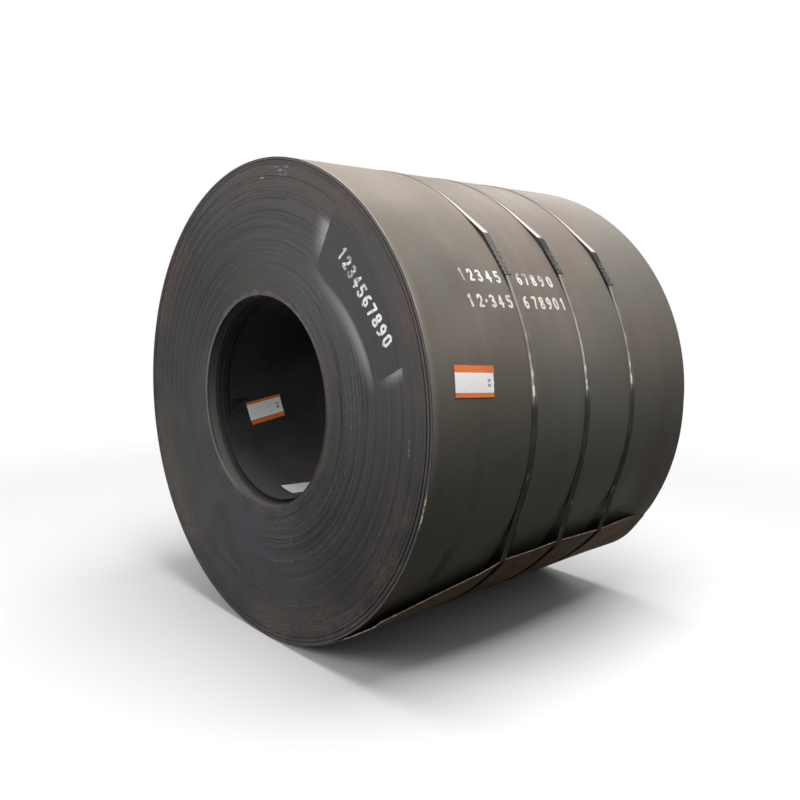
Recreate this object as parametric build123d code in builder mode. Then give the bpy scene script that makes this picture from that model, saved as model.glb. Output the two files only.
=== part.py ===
"""Hot-rolled steel coil lying on its side, tied round its belly with three steel straps.

Millimetres. The coil's axis runs along Y and its marked end faces -Y. The origin is on the
floor under the middle of the coil, and +Z is up. Angles round the coil are in degrees from
+X towards +Z, as they are seen from the marked end.
"""
from build123d import *
from math import acos, asin, atan2, cos, degrees, dist, radians, sin, sqrt
import os

os.makedirs("parts", exist_ok=True)

# Strip and coil
strip_width = 1500.0
strip_thickness = 3.75
turn_gap = 0.1
coil_radius = 914.0
bore_radius = 381.0

# Turns on the ends: how far each group of turns stands out of line, and the turns at the eye
# of the marked end, which have slipped back into the bore one after the other
turns_in_group = 4
group_wander = 2.5
eye_turn_depths = (103.0, 83.0, 69.0, 49.0, 35.0)

# Tail of the strip, which springs off the coil below the right-hand side and ends in a tongue
tail_lift_angle = -58.0
tail_spring_radius = 1600.0
tail_length = 400.0
tongue_radius = 2500.0
tongue_tip_y = 130.0

# Straps, with the straight leg where the tensioner lifted each one off the coil
strap_width = 32.0
strap_thickness = 1.0
strap_clearance = 0.3
strap_positions = (-262.0, 45.0, 343.0)
strap_bend_angles = (41.8, 41.0, 38.1)
strap_leg_spans = (11.1, 9.6, 9.6)
strap_bend_height = 12.0
strap_foot_height = 4.0

# Seals crimped round the two ends of each strap
seal_length = 106.0
seal_sheet = 1.0
seal_clearance = 0.3
seal_foot_gap = 2.0

# Paper labels
paper_thickness = 0.3
paper_clearance = 0.5
label_length = 180.0
label_height = 100.0
outer_label_from_end = 195.0
outer_label_angle = 8.5
outer_label_tilt = -4.0
bore_label_from_end = 272.0
bore_label_angle = -165.2
bore_label_tilt = -8.5
loose_sheet_from_end = 242.0
loose_sheet_angle = -94.7
loose_sheet_tilt = 6.0

# Sizes that follow
turn_pitch = strip_thickness + turn_gap
core_radius = coil_radius - 2 * turn_pitch
weld_overlap = turn_pitch / 2
half_width = strip_width / 2
rim_radius = bore_radius + len(eye_turn_depths) * turn_pitch
group_count = max(1, round((core_radius - rim_radius) / (turns_in_group * turn_pitch)))
group_height = (core_radius - rim_radius) / group_count

# The outer turn is two half circles whose centres lie half a pitch apart, so that it climbs
# one pitch in a full turn and the tail leaves it where it is highest
lift = radians(tail_lift_angle)
lift_direction = (cos(lift), sin(lift))
inner_arc_radius = coil_radius - 0.75 * turn_pitch
outer_arc_radius = coil_radius - 0.25 * turn_pitch
inner_arc_centre = (-lift_direction[0] * turn_pitch / 4, -lift_direction[1] * turn_pitch / 4)
outer_arc_centre = (lift_direction[0] * turn_pitch / 4, lift_direction[1] * turn_pitch / 4)
tail_centre_distance = coil_radius - tail_spring_radius
tail_centre = (lift_direction[0] * tail_centre_distance, lift_direction[1] * tail_centre_distance)
tail_sweep = degrees(tail_length / tail_spring_radius)

# The coil rests on its straps, so its axis is this high over the floor
strap_build = strap_clearance + strap_thickness
axis_height = outer_arc_radius + strap_build - outer_arc_centre[1]


def cross_plane(y):
    """Plane across the coil at y: its X is the row's X, its Y points up."""
    return Plane(origin=(0, y, axis_height), x_dir=(1, 0, 0), z_dir=(0, -1, 0))


def skin_plane(y, angle, radius, centre=(0, 0)):
    """Plane that touches a round skin: its X runs along the coil, its Y round it."""
    outward = (cos(radians(angle)), 0, sin(radians(angle)))
    place = (centre[0] + radius * outward[0], y, axis_height + centre[1] + radius * outward[2])
    return Plane(origin=place, x_dir=(0, 1, 0), z_dir=outward)


def polar(centre, radius, angle):
    """Point at a radius and an angle from a centre."""
    return (centre[0] + radius * cos(radians(angle)), centre[1] + radius * sin(radians(angle)))


def angle_from(centre, point):
    """Angle of a point as seen from a centre."""
    return degrees(atan2(point[1] - centre[1], point[0] - centre[0]))


def group_shift(index):
    """How far a group of turns has wandered along the coil."""
    return group_wander * (0.6 * sin(2.3 * index) + 0.4 * sin(5.9 * index + 1))


def tail_edge(y):
    """Outer corner of the tail's end, in the plane across the coil, where it reaches furthest
    under a strap at y."""
    from_tip = max(0.0, abs(y - tongue_tip_y) - strap_width / 2)
    short = tongue_radius - sqrt(tongue_radius**2 - from_tip**2)
    sweep = tail_sweep - degrees(asin(short / tail_spring_radius))
    return polar(tail_centre, tail_spring_radius, tail_lift_angle + sweep)


def join_angle(first, second):
    """Angle, at both supports, where a strap leaves one round support straight for the next."""
    slope = angle_from(first[0], second[0])
    return slope - degrees(acos((first[1] - second[1]) / dist(first[0], second[0])))


def strap_outline(y, bend_angle, foot_angle, growth):
    """Closed line, in the current BuildLine, of a tight strap round the coil at y, standing
    off everything that it touches by the growth."""
    edge = tail_edge(y)
    foot = polar((0, 0), coil_radius + strap_foot_height, foot_angle)
    bend = polar((0, 0), coil_radius + strap_bend_height, bend_angle)
    belly = (inner_arc_centre, inner_arc_radius + growth)
    supports = [(edge, growth), belly, (foot, growth), (bend, growth), belly]
    half_turn = tail_lift_angle + 180
    edge_angle = angle_from(tail_centre, edge)
    joins = [join_angle(first, second) for first, second in zip(supports, supports[1:])]
    arcs = []
    for (centre, radius), start, end in zip(supports, [edge_angle] + joins, joins + [half_turn]):
        arcs.append(CenterArc(centre, radius, start, (end - start) % 360))
    for first, second in zip(arcs, arcs[1:]):
        Line(first @ 1, second @ 0)
    CenterArc(outer_arc_centre, outer_arc_radius + growth, half_turn, 180)
    sprung_radius = tail_spring_radius + growth
    CenterArc(tail_centre, sprung_radius, tail_lift_angle, edge_angle - tail_lift_angle)


# Tail: a plate bent to a wider arc than the coil, its end cut to a tongue
with BuildPart() as tail:
    with BuildSketch(cross_plane(0)):
        with BuildLine():
            skin = CenterArc(tail_centre, tail_spring_radius, tail_lift_angle, tail_sweep)
            belly_radius = tail_spring_radius - strip_thickness
            belly = CenterArc(tail_centre, belly_radius, tail_lift_angle, tail_sweep)
            Line(skin @ 0, belly @ 0)
            Line(skin @ 1, belly @ 1)
        make_face()
    extrude(amount=half_width, both=True)
    end_angle = tail_lift_angle + tail_sweep
    with BuildSketch(skin_plane(0, end_angle, tail_spring_radius, tail_centre)):
        Rectangle(2 * strip_width, 2 * tail_length)
        with Locations((tongue_tip_y, -tongue_radius)):
            Circle(tongue_radius, mode=Mode.SUBTRACT)
    extrude(amount=tail_length, both=True, mode=Mode.SUBTRACT)

# Coil: the turned body with its bore and stepped ends, then the outer turn and the tail
with BuildPart() as coil:
    with BuildSketch(Plane.XY.offset(axis_height)):
        with BuildLine():
            near_end = []
            far_end = []
            for turn, depth in enumerate(eye_turn_depths):
                near_end.append((bore_radius + turn * turn_pitch, depth - half_width))
                near_end.append((bore_radius + (turn + 1) * turn_pitch, depth - half_width))
            for group in range(group_count):
                radius = rim_radius + group * group_height
                shift = group_shift(group)
                near_end.append((radius, shift - half_width))
                near_end.append((radius + group_height, shift - half_width))
                far_end.append((radius, shift + half_width))
                far_end.append((radius + group_height, shift + half_width))
            far_eye = (bore_radius, group_shift(0) + half_width)
            Polyline(*near_end, *reversed(far_end[1:]), far_eye, close=True)
        make_face()
    revolve(axis=Axis((0, 0, axis_height), (0, 1, 0)))
    with BuildSketch(cross_plane(0)):
        with BuildLine():
            first_half = CenterArc(inner_arc_centre, inner_arc_radius, tail_lift_angle, 180)
            half_turn = tail_lift_angle + 180
            last_half = CenterArc(outer_arc_centre, outer_arc_radius, half_turn, 180)
            Line(last_half @ 1, first_half @ 0)
        make_face()
        Circle(core_radius - weld_overlap, mode=Mode.SUBTRACT)
    extrude(amount=half_width, both=True)
    add(tail.part)
coil.part.label = "coil"
export_step(coil.part, "parts/coil.step")

# Straps and seals
strap_shapes = zip(strap_positions, strap_bend_angles, strap_leg_spans)
for number, (strap_y, bend_angle, leg_span) in enumerate(strap_shapes, start=1):
    foot_angle = bend_angle - leg_span
    with BuildPart() as strap:
        for growth, mode in ((strap_build, Mode.ADD), (strap_clearance, Mode.SUBTRACT)):
            with BuildSketch(cross_plane(strap_y)):
                with BuildLine():
                    strap_outline(strap_y, bend_angle, foot_angle, growth)
                make_face()
            extrude(amount=strap_width / 2, both=True, mode=mode)
    strap.part.label = f"strap_{number}"
    export_step(strap.part, f"parts/strap_{number}.step")

    # The seal is a flat sleeve round the straight leg, down at the leg's foot
    bend = polar((0, 0), coil_radius + strap_bend_height, bend_angle)
    foot = polar((0, 0), coil_radius + strap_foot_height, foot_angle)
    leg_length = dist(foot, bend)
    along = ((bend[0] - foot[0]) / leg_length, (bend[1] - foot[1]) / leg_length)
    outward = (along[1], -along[0])
    middle_lift = strap_clearance + strap_thickness / 2
    seal_start = (
        foot[0] + along[0] * seal_foot_gap + outward[0] * middle_lift,
        strap_y,
        axis_height + foot[1] + along[1] * seal_foot_gap + outward[1] * middle_lift,
    )
    seal_plane = Plane(origin=seal_start, x_dir=(0, 1, 0), z_dir=(along[0], 0, along[1]))
    with BuildPart() as seal:
        with BuildSketch(seal_plane):
            inner_width = strap_width + 2 * seal_clearance
            inner_height = strap_thickness + 2 * seal_clearance
            Rectangle(inner_width + 2 * seal_sheet, inner_height + 2 * seal_sheet)
            Rectangle(inner_width, inner_height, mode=Mode.SUBTRACT)
        extrude(amount=seal_length)
    seal.part.label = f"seal_{number}"
    export_step(seal.part, f"parts/seal_{number}.step")


def curved_sheet(name, from_end, angle, tilt, centre, inner_radius):
    """Thin sheet of a label's size that follows a round skin, tilted in its own plane. Its
    middle is at a distance from the marked end."""
    y = from_end - half_width
    middle_radius = inner_radius + paper_thickness / 2
    with BuildPart() as sheet:
        with BuildSketch(cross_plane(y)):
            with Locations(centre):
                Circle(inner_radius + paper_thickness)
                Circle(inner_radius, mode=Mode.SUBTRACT)
        extrude(amount=label_length, both=True)
        with BuildSketch(skin_plane(y, angle, middle_radius, centre)):
            Rectangle(label_length, label_height, rotation=tilt)
        extrude(amount=label_height / 2, both=True, mode=Mode.INTERSECT)
    sheet.part.label = name
    export_step(sheet.part, f"parts/{name}.step")


# Labels: one on the belly of the coil, one on the wall of the bore, and a sheet lying in it
belly_skin = inner_arc_radius + paper_clearance
bore_skin = bore_radius - paper_clearance - paper_thickness
curved_sheet(
    "label_outer",
    outer_label_from_end,
    outer_label_angle,
    outer_label_tilt,
    inner_arc_centre,
    belly_skin,
)
curved_sheet(
    "label_bore", bore_label_from_end, bore_label_angle, bore_label_tilt, (0, 0), bore_skin
)
curved_sheet(
    "sheet_in_bore", loose_sheet_from_end, loose_sheet_angle, loose_sheet_tilt, (0, 0), bore_skin
)
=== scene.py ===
"""Dressed view of a hot-rolled steel coil on its side, tied with three steel straps.

Metres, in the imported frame: the coil's axis runs along Y at axis_height over the floor and its
marked end faces -Y. Angles round the coil are in degrees from +X towards +Z.
"""

import bpy
import numpy as np
from math import acos, atan2, cos, degrees, hypot, pi, radians, sin, sqrt
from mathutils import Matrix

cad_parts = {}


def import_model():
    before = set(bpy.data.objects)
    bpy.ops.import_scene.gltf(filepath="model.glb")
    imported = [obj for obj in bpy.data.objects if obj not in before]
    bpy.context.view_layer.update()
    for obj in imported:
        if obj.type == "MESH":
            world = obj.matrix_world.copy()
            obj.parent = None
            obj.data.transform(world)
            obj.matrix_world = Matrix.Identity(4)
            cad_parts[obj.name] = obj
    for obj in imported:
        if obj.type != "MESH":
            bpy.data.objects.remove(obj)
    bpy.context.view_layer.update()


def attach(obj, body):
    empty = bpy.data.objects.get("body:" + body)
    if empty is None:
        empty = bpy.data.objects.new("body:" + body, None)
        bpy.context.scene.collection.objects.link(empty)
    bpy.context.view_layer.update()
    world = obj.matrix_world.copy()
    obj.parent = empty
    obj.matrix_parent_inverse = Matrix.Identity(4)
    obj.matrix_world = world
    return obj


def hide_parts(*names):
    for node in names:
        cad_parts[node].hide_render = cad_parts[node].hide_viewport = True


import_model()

# Coil
half_width = 0.750
coil_radius = 0.914
bore_radius = 0.381
strip_thickness = 0.00375
lift_angle = -58.0
inner_end_angle = -174.0
full_turns = 136
last_winding = full_turns + 1 + (lift_angle - inner_end_angle) / 360
turn_pitch = (coil_radius - bore_radius) / (last_winding + 1)
strap_build = 0.0013
axis_height = coil_radius - turn_pitch / 4 * (1 + sin(radians(lift_angle))) + strap_build

# Ends of the turns
eye_depths = (0.055, 0.103, 0.083, 0.069, 0.049, 0.035, 0.0)
group_wander = 0.0012
end_reach = 0.0022
groove_depth = 0.0011
corner_width = 0.0005

# Tail: its end and how far it stands off, at stations along the coil from the marked end
tail_stations = (0.0, 0.21, 0.40, 0.50, 0.655, 0.78, 1.11, 1.22, 1.35, 1.50)
tail_end_angles = (-43.0, -39.0, -36.3, -33.9, -33.5, -32.6, -34.3, -34.2, -34.6, -36.4)
tail_end_heights = (0.031, 0.031, 0.031, 0.030, 0.034, 0.037, 0.031, 0.028, 0.024, 0.017)
tail_start_angle = -60.5
tail_rise_power = 1.35
flare_height = 0.018
flare_top_angle = -3.0
near_rise_shares = (0.0, 0.2, 0.343, 0.451, 0.554, 0.657, 0.754, 0.851, 1.0)
near_rise_heights = (0.0, 0.0042, 0.0076, 0.0105, 0.0140, 0.0184, 0.0235, 0.0286, 0.0325)

# Straps
strap_width = 0.032
strap_thickness = 0.001
strap_clearance = 0.00022
strap_from_end = (0.488, 0.795, 1.093)
strap_bend_angles = (41.8, 41.0, 38.1)
strap_leg_spans = (11.1, 9.6, 9.6)
strap_bend_height = 0.012
strap_foot_height = 0.004

# Seals
seal_length = 0.106
seal_sheet = 0.001
seal_gap = 0.0003
seal_foot_gap = 0.002
crimp_count = 5

# Labels
label_length = 0.180
label_height = 0.100
paper_thickness = 0.0003

# Row of digits on the marked end: a straight row square to the direction at its angle
end_row_angle = 38.0
end_row_height = 0.722
end_row_start = -0.119
end_row_pitch = 0.0394

# Colours
end_dark = (0.036, 0.036, 0.037)
end_light = (0.070, 0.068, 0.067)
skin_dark = (0.125, 0.106, 0.089)
skin_light = (0.180, 0.155, 0.132)
# Lower skin: greener, and darker as painted shade
skin_low_shaded_dark = (0.070, 0.070, 0.056)
skin_low_shaded_light = (0.105, 0.106, 0.088)

# Camera
camera_place = (2.4844, -2.3894, 1.30205)
camera_down_degrees = 4.157
camera_turn_degrees = 50.24
camera_lens = 35.04
camera_shift = (0.0675, -0.055)

rng = np.random.default_rng(7)


# ---------------------------------------------------------------- shapes
def around(radius, angle, y):
    """Points at a radius, an angle in degrees and a place along the coil, as an array."""
    turned = np.radians(angle)
    columns = np.broadcast_arrays(
        radius * np.cos(turned), y, axis_height + radius * np.sin(turned)
    )
    return np.stack(columns, axis=-1)


def smooth_step(value, low, high):
    """0 below low, 1 above high, smooth between."""
    share = np.clip((value - low) / (high - low), 0, 1)
    return share * share * (3 - 2 * share)


def wave_noise(value, seed, waves=6, slowest=1.0, spread=2.0):
    """Smooth seeded noise of about one unit, as a sum of waves."""
    local = np.random.default_rng(seed)
    total = np.zeros_like(np.asarray(value, float))
    for _ in range(waves):
        rate = slowest * (1 + spread * local.random())
        total = total + np.sin(2 * pi * (rate * value + local.random())) / waves
    return total * 1.6


def climb(share):
    """Share of a pitch that the strip has climbed at a share of a turn from the lift angle. Each
    turn is two half circles."""
    swing = np.cos(2 * pi * share)
    return np.where(share < 0.5, (1 - swing) / 4, (3 + swing) / 4)


def strip_radius(winding):
    """Inner radius of the strip at a winding counted from its inner end."""
    share = (winding - last_winding) % 1.0
    return bore_radius + turn_pitch * (winding + climb(share) - share)


def winding_angle(winding):
    """Angle round the coil where the strip reaches a winding."""
    return inner_end_angle + 360 * winding


def eye_depth(winding):
    """How far the turns at the eye of the marked end have slipped back into the bore."""
    stations = [i + part for i in range(len(eye_depths)) for part in (-0.28, 0.25)]
    cut_corner = 0.147 * np.exp(-winding / 0.02)
    return np.interp(winding, stations, np.repeat(eye_depths, 2)) + cut_corner


def group_shift(winding):
    """How far the strip has wandered along the coil at a winding."""
    index = (winding - 5) / 4.0
    whole = np.floor(index)
    share = smooth_step(index - whole, 0.62, 1.0)

    def shift(i):
        return group_wander * (0.6 * np.sin(2.3 * i) + 0.4 * np.sin(5.9 * i + 1))

    return shift(whole) * (1 - share) + shift(whole + 1) * share


def set_back(winding, middle, width, depth):
    """A few turns that lie deeper than their neighbours."""
    return depth * np.clip(1 - np.abs(winding - middle) / width, 0, 1) ** 0.5


def near_edge(winding):
    """Place along the coil of the strip's edge at the marked end."""
    wander = group_shift(winding) + 0.0005 * wave_noise(winding, 3, 8, 0.5, 1.4)
    wander = wander + set_back(winding, 130.2, 0.5, 0.005)
    wander = wander + set_back(winding, 134.4, 0.4, 0.003)
    wander = wander + set_back(winding, 127.3, 0.3, 0.002)
    wander = wander + set_back(winding, 50.0, 0.5, 0.003)
    return -half_width + np.maximum(wander, -end_reach) + eye_depth(winding)


def far_edge(winding):
    """Place along the coil of the strip's edge at the other end."""
    wander = group_shift(winding) + 0.0007 * wave_noise(winding, 5, 8, 0.5, 1.4)
    wander = wander - set_back(winding, 128.3, 0.8, 0.006)
    return half_width + np.clip(wander, -1, end_reach - 0.0001)


def new_mesh(name, points, faces, smooth=True):
    """A mesh object from points and faces, linked into the scene."""
    mesh = bpy.data.meshes.new(name)
    mesh.from_pydata([tuple(p) for p in points], [], [tuple(f) for f in faces])
    mesh.validate()
    mesh.polygons.foreach_set("use_smooth", [smooth] * len(mesh.polygons))
    piece = bpy.data.objects.new(name, mesh)
    bpy.context.scene.collection.objects.link(piece)
    return piece


def grid_faces(rows, columns, close_rows=False, first=0, flip=False):
    """Faces of a grid whose points are stored row after row."""
    faces = []
    for r in range(rows if close_rows else rows - 1):
        below = first + r * columns
        above = first + ((r + 1) % rows) * columns
        for c in range(columns - 1):
            face = (below + c, below + c + 1, above + c + 1, above + c)
            faces.append(face[::-1] if flip else face)
    return faces


def weld(piece, distance=1e-6):
    """Merges points that lie on each other, and makes the normals point outward."""
    import bmesh

    work = bmesh.new()
    work.from_mesh(piece.data)
    bmesh.ops.remove_doubles(work, verts=work.verts, dist=distance)
    bmesh.ops.recalc_face_normals(work, faces=work.faces)
    work.to_mesh(piece.data)
    work.free()
    piece.data.update()
    piece.data.set_sharp_from_angle(angle=radians(20))


def give_uv(piece, name, coordinates):
    """A UV layer from one pair of numbers per point."""
    layer = piece.data.uv_layers.new(name=name)
    for loop in piece.data.loops:
        layer.data[loop.index].uv = coordinates[loop.vertex_index]


def finish_piece(piece, material, slot, *replaced):
    """Gives a piece its material and its body, and hides the imported nodes that it stands for."""
    piece.data.materials.append(material)
    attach(piece, "root")
    if replaced:
        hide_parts(*replaced)
    return piece


# ---------------------------------------------------------------- coil
def turns_at_end(name, edge, mirror, material, wall_material):
    """Half of the coil's wound body: every turn's edge at one end, the wall of the bore up to
    the middle, and the skin under the outer turn."""
    columns = 200
    share = np.arange(columns + 1) / columns
    loops = []
    for turn in range(full_turns):
        winding = turn + share
        level = edge(winding)
        inward = mirror * groove_depth
        radius = strip_radius(winding)
        angle = winding_angle(winding)
        loops.append(around(radius, angle, level + inward))
        loops.append(around(radius + corner_width, angle, level))
        loops.append(around(radius + turn_pitch - corner_width, angle, level))
    outer_winding = full_turns + share
    outer_radius = strip_radius(outer_winding)
    outer_level = edge(full_turns - 1 + share) + mirror * groove_depth
    loops.append(around(outer_radius, winding_angle(outer_winding), outer_level))
    loops.append(around(outer_radius, winding_angle(outer_winding), 0.0 * share))
    inner_level = edge(share) + mirror * groove_depth
    wall_steps = (1.0, 0.75, 0.5, 0.25)
    for part in wall_steps:
        loops.append(around(strip_radius(share), winding_angle(share), inner_level * (1 - part)))
    points = np.stack(loops)
    rows = len(loops)
    faces = grid_faces(rows, columns + 1, close_rows=True, flip=mirror > 0)
    piece = new_mesh(name, points.reshape(-1, 3), faces)
    wall_faces = (rows - len(wall_steps) - 1) * columns
    piece.data.polygons.foreach_set(
        "material_index", [int(k >= wall_faces) for k in range(len(piece.data.polygons))]
    )
    close_seam(piece)
    weld(piece)
    finish_piece(piece, material, "hot_rolled_steel", "coil")
    piece.data.materials.append(wall_material)
    return piece


def close_seam(piece):
    """Closes the two small steps where the wound body starts and ends."""
    import bmesh

    work = bmesh.new()
    work.from_mesh(piece.data)
    bmesh.ops.remove_doubles(work, verts=work.verts, dist=1e-6)
    made = bmesh.ops.holes_fill(work, edges=[e for e in work.edges if e.is_boundary], sides=0)
    for face in made["faces"]:
        face.material_index = 1
    work.to_mesh(piece.data)
    work.free()
    piece.data.update()


def stand_off(angle_share, y):
    """How far the tail stands off the coil, at a share of its length and a place along it. Its
    corner at the far end rises early and curls back."""
    from_end = y + half_width
    height = np.interp(from_end, tail_stations, tail_end_heights)
    middle = height * angle_share**tail_rise_power
    near = np.interp(angle_share, near_rise_shares, near_rise_heights)
    far = 0.0235 * smooth_step(angle_share, 0.08, 0.66) - 0.0070 * smooth_step(angle_share, 0.62, 1)
    middle = middle + (near - middle) * smooth_step(from_end, 0.35, 0.0)
    return middle + (far - middle) * smooth_step(from_end, 1.18, 1.48)


def flare(angle, y):
    """How far the turn under the tail has spread at its far edge, near the tail's corner."""
    spread = flare_height * smooth_step(angle, -57.0, -44.0)
    spread = spread * np.clip((flare_top_angle - angle) / (flare_top_angle + 33.0), 0, 1)
    return spread * smooth_step(y + half_width, 1.26, 1.47)


def tail_angle(angle_share, y):
    """Angle of a point of the tail, in degrees, in the same terms."""
    end = np.interp(y + half_width, tail_stations, tail_end_angles)
    return tail_start_angle + angle_share * (end - tail_start_angle)


def outer_skin(angle):
    """Radius of the coil's outer skin at an angle, without the tail."""
    share = (np.asarray(angle, float) - lift_angle) % 360 / 360
    return coil_radius - turn_pitch * (1 - climb(share))


def strip_section(level_near, level_far, rows):
    """Places along the strip and heights in its thickness, once round its section."""
    edge = 0.0012
    inside = np.linspace(level_near + edge, level_far - edge, rows)
    height = strip_thickness
    y = np.concatenate([[level_near], inside, [level_far], [level_far], inside[::-1], [level_near]])
    up = [height - edge] + [height] * rows + [height - edge, edge] + [0.0] * rows + [edge]
    return y, np.array(up)


def outer_turn(material, edge_material, tail_material):
    """Last turns of the strip with the tail that springs off the coil."""
    rows = 46
    last = last_winding - (lift_angle - tail_start_angle) / 360
    windings = np.linspace(full_turns, last, 380)
    loops = []
    for winding in windings:
        y, up = strip_section(float(near_edge(winding)), float(far_edge(winding)), rows)
        radius = strip_radius(winding) + turn_pitch - strip_thickness + up - 0.00005
        angle = winding_angle(winding)
        if winding < full_turns + 0.6:
            radius = radius + flare(angle % 360 - 360, y)
        loops.append(around(radius, angle, y))
    last_near, last_far = float(near_edge(last)), float(far_edge(last))
    for share in np.linspace(0, 1, 46)[1:]:
        y, up = strip_section(last_near, last_far, rows)
        angle = tail_angle(share, y)
        base = strip_radius(last) + turn_pitch - strip_thickness
        radius = base + up + stand_off(share, y)
        loops.append(around(radius, angle, y))
    points = np.stack(loops)
    size = points.shape[1]
    faces = []
    for r in range(len(loops) - 1):
        for c in range(size):
            d = (c + 1) % size
            faces.append((r * size + c, r * size + d, (r + 1) * size + d, (r + 1) * size + c))
    for start in (0, (len(loops) - 1) * size):
        for c in range(size // 2 - 1):
            faces.append((start + c, start + c + 1, start + size - 2 - c, start + size - 1 - c))
    piece = new_mesh("outer_turn", points.reshape(-1, 3), faces)
    edges = set(range(len(faces) - size // 2 + 1, len(faces)))
    for r in range(len(loops) - 1):
        edges.update(r * size + c for c in (size - 2, size - 1, 0, rows, rows + 1, rows + 2))
    tail_faces = (len(windings) - 1) * size
    kinds = [1 if k in edges else 2 if k >= tail_faces else 0 for k in range(len(faces))]
    piece.data.polygons.foreach_set("material_index", kinds)
    weld(piece, 1e-7)
    finish_piece(piece, material, "hot_rolled_steel", "coil")
    piece.data.materials.append(edge_material)
    piece.data.materials.append(tail_material)
    return piece


# ---------------------------------------------------------------- straps
def hull(points):
    """Convex outline of flat points, anticlockwise."""
    ordered = sorted(map(tuple, points))

    def half(sequence):
        line = []
        for p in sequence:
            while len(line) > 1 and (
                (line[-1][0] - line[-2][0]) * (p[1] - line[-2][1])
                - (line[-1][1] - line[-2][1]) * (p[0] - line[-2][0])
            ) <= 0:
                line.pop()
            line.append(p)
        return line[:-1]

    return np.array(half(ordered) + half(ordered[::-1]))


def flat(radius, angle):
    """Point in the plane across the coil, from its axis."""
    return (radius * cos(radians(angle)), radius * sin(radians(angle)))


def strap_line(y, bend_angle, leg_span):
    """Closed line of evenly spaced points that a tight strap follows round the coil at y."""
    points = [flat(float(outer_skin(a)), a) for a in np.arange(lift_angle, lift_angle + 360, 0.5)]
    for edge_y in (y - strap_width / 2, y, y + strap_width / 2):
        for share in np.linspace(0, 1, 24):
            angle = float(tail_angle(share, edge_y))
            radius = float(outer_skin(tail_start_angle)) + float(stand_off(share, edge_y))
            points.append(flat(radius, angle))
    points.append(flat(coil_radius + strap_bend_height, bend_angle))
    points.append(flat(coil_radius + strap_foot_height, bend_angle - leg_span))
    return even(hull(points), 0.008)


def even(line, step):
    """Closed line with points added so that none of its runs is longer than a step."""
    made = []
    for start, end in zip(line, np.roll(line, -1, axis=0)):
        count = max(1, int(np.ceil(np.linalg.norm(end - start) / step)))
        made.extend(start + (end - start) * k / count for k in range(count))
    return np.array(made)


def outward(line):
    """Unit normals of a closed anticlockwise line."""
    along = np.roll(line, -1, axis=0) - np.roll(line, 1, axis=0)
    normal = np.stack([along[:, 1], -along[:, 0]], axis=1)
    return normal / np.linalg.norm(normal, axis=1)[:, None]


def ribbon_section(width, thickness):
    """Section of a strap with rounded edges: places across it and heights."""
    half = width / 2
    edge = thickness * 0.35
    across = [-half, -half + edge, -half * 0.5, 0, half * 0.5, half - edge, half]
    across = across + [half] + across[5:0:-1] + [-half]
    up = [thickness - edge] + [thickness] * 5 + [thickness - edge, edge] + [0.0] * 5 + [edge]
    return np.array(across), np.array(up)


def strap(number, y, bend_angle, leg_span, material):
    """One strap, with its own slight waves."""
    line = strap_line(y, bend_angle, leg_span)
    normal = outward(line)
    across, up = ribbon_section(strap_width, strap_thickness)
    run = np.cumsum(np.linalg.norm(np.roll(line, -1, axis=0) - line, axis=1))
    sway = 0.0015 * wave_noise(run / run[-1], 20 + number, 4, 2, 4)
    loops = []
    for point, out, side in zip(line, normal, sway):
        level = strap_clearance + up
        x = point[0] + out[0] * level
        z = axis_height + point[1] + out[1] * level
        loops.append(np.stack([x, y + side + across, z], axis=1))
    points = np.stack(loops)
    size = points.shape[1]
    count = len(loops)
    faces = []
    for r in range(count):
        n = (r + 1) % count
        for c in range(size):
            d = (c + 1) % size
            faces.append((r * size + c, r * size + d, n * size + d, n * size + c))
    piece = new_mesh(f"steel_strap_{number}", points.reshape(-1, 3), faces)
    share = np.repeat(run / run[-1], size)
    give_uv(piece, "ribbon", np.stack([share, np.tile(across / strap_width + 0.5, count)], axis=1))
    weld(piece, 1e-7)
    return finish_piece(piece, material, "strap_steel", f"strap_{number}")


# ---------------------------------------------------------------- seals
def leg_frame(bend_angle, leg_span):
    """Start, direction and outward normal of a strap's straight leg."""
    bend = np.array(flat(coil_radius + strap_bend_height, bend_angle))
    foot = np.array(flat(coil_radius + strap_foot_height, bend_angle - leg_span))
    along = (bend - foot) / float(np.linalg.norm(bend - foot))
    return foot, along, np.array([along[1], -along[0]])


def sleeve_section(half_inside, inside_height, squeeze):
    """Outer line of a seal's section, drawn in at a crimp."""
    half = half_inside + seal_sheet - 0.0035 * squeeze
    low = -seal_sheet
    top = inside_height + seal_sheet - 0.0006 * squeeze
    r = 0.0009
    line = [(-half + r, low), (0, low), (half - r, low), (half, low + r), (half, top - r)]
    line += [(half - r, top), (half * 0.5, top), (0, top - 0.0003 * squeeze), (-half * 0.5, top)]
    line += [(-half + r, top), (-half, top - r), (-half, low + r)]
    return np.array(line)


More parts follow.
